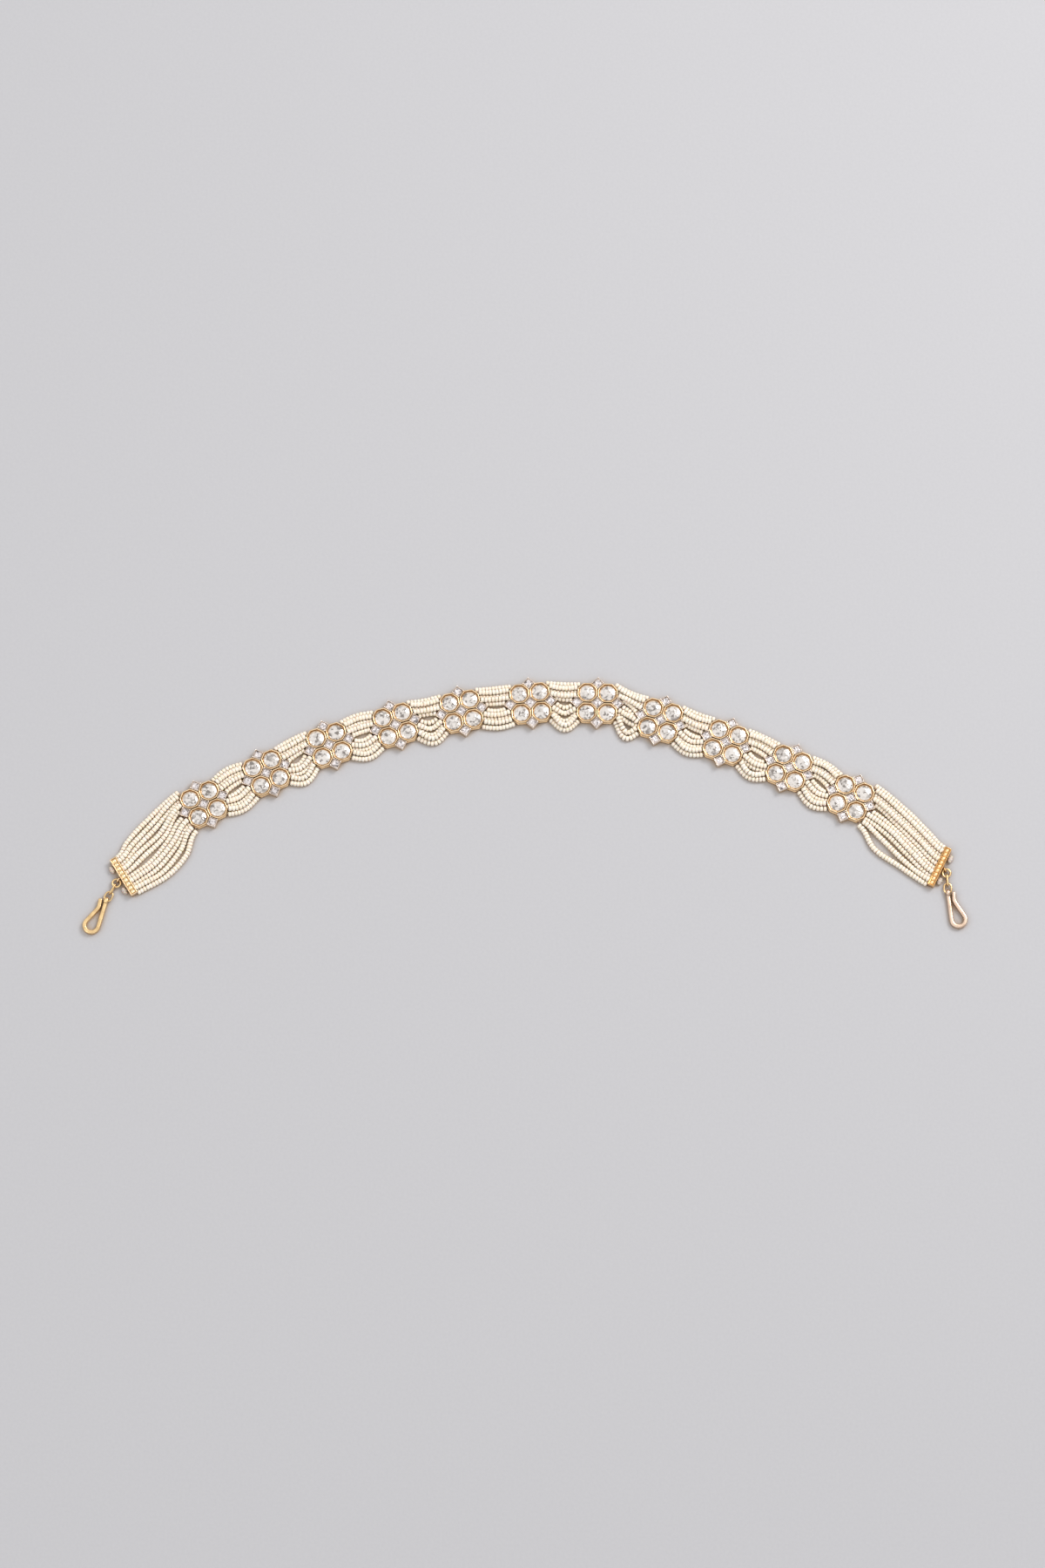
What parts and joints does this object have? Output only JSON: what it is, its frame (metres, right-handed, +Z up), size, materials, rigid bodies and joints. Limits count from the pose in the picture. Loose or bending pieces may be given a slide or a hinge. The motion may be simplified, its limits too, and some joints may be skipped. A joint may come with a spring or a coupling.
{
  "type": "matha patti",
  "caption": "Bridal head ornament: gold plaques of polki and square stones strung on rows of seed pearls, with a gold bar and a hook at each end.",
  "frame": {"origin": "middle of the ornament's box, on the table that it lies on", "axes": "+X to the right along the arch, +Y towards the top of the arch, +Z up from the table"},
  "size_m": [0.353, 0.1064, 0.0039],
  "materials": {
    "gold": "polished gold plating",
    "rose_gold": "polished rosy gold plating",
    "polki": "foil-backed uncut stone",
    "clear_stone": "cut clear stone",
    "pearl": "cream pearl lustre",
    "thread": "pale knotted thread"
  },
  "bodies": {
    "root": {"plaque_1": "gold", "plaque_2": "gold", "plaque_3": "gold", "plaque_4": "gold", "plaque_5": "gold", "plaque_6": "gold", "plaque_7": "gold", "plaque_8": "gold", "plaque_9": "gold", "plaque_10": "gold", "plaque_11": "gold", "polki_stones_1": "polki", "polki_stones_2": "polki", "polki_stones_3": "polki", "polki_stones_4": "polki", "polki_stones_5": "polki", "polki_stones_6": "polki", "polki_stones_7": "polki", "polki_stones_8": "polki", "polki_stones_9": "polki", "polki_stones_10": "polki", "polki_stones_11": "polki", "square_stones_1": "clear_stone", "square_stones_2": "clear_stone", "square_stones_3": "clear_stone", "square_stones_4": "clear_stone", "square_stones_5": "clear_stone", "square_stones_6": "clear_stone", "square_stones_7": "clear_stone", "square_stones_8": "clear_stone", "square_stones_9": "clear_stone", "square_stones_10": "clear_stone", "square_stones_11": "clear_stone", "upper_strand_1": "pearl", "upper_strand_2": "pearl", "upper_strand_3": "pearl", "upper_strand_4": "pearl", "upper_strand_5": "pearl", "lower_strand_1": "pearl", "lower_strand_2": "pearl", "lower_strand_3": "pearl", "lower_strand_4": "pearl", "lower_strand_5": "pearl", "end_bar_left": "gold", "end_bar_right": "gold", "thread_knots_left": "thread", "thread_knots_right": "thread", "jump_ring_left": "gold", "jump_ring_right": "gold", "upright_link_left": "gold", "upright_link_right": "gold", "oval_link_left": "gold", "oval_link_right": "gold", "hook_left": "gold", "hook_right": "rose_gold"}
  },
  "joints": []
}
